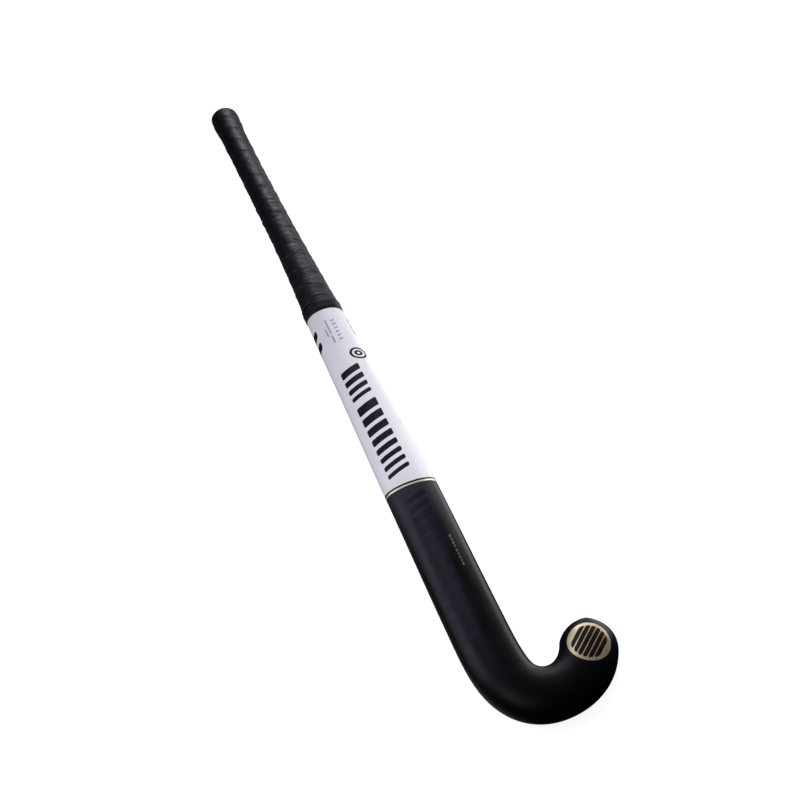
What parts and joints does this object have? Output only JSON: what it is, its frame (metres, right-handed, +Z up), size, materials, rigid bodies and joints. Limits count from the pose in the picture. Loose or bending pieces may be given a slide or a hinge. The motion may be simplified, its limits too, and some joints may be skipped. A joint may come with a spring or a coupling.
{
  "type": "field hockey stick",
  "caption": "Composite field hockey stick with a J-shaped hook, a flat playing face, a rounded back, a gently bowed shaft and a spiral-taped grip that ends in a flared knob.",
  "frame": {"origin": "centre of the base of the bounding box, on the table that the flat playing face lies on", "axes": "+Y along the handle towards the butt, +X towards the toe of the hook, +Z up out of the rounded back"},
  "size_m": [0.128, 0.9269, 0.0367],
  "materials": {
    "laminate": "satin black lacquered fibre composite",
    "foam": "cast polyurethane foam",
    "tube": "bare carbon and glass laminate",
    "rubber": "moulded matt rubber",
    "cushion": "closed-cell foam strip",
    "tape": "black tacky polyurethane tape, spiral wound",
    "binding": "black finishing tape, slightly creased",
    "white_film": "white lacquered film",
    "gold_foil": "pale gold foil under lacquer",
    "black_print": "black print under lacquer",
    "grey_print": "pale grey print under lacquer",
    "navy_print": "very dark blue gloss print on black"
  },
  "bodies": {
    "root": {"laminate_shell": "laminate", "head_core": "foam", "butt_plug": "foam", "core_tube_toe_side": "tube", "core_tube_heel_side": "tube", "butt_cap": "rubber", "grip_cushion": "cushion", "grip_tape": "tape", "grip_end_tape": "binding", "shaft_film": "white_film", "gold_pinstripe": "gold_foil", "toe_roundel": "gold_foil", "dash_transfer": "gold_foil", "bar_transfer": "black_print", "small_roundel": "black_print", "side_mark": "black_print", "label_transfer": "grey_print", "lower_transfer": "navy_print"}
  },
  "joints": []
}
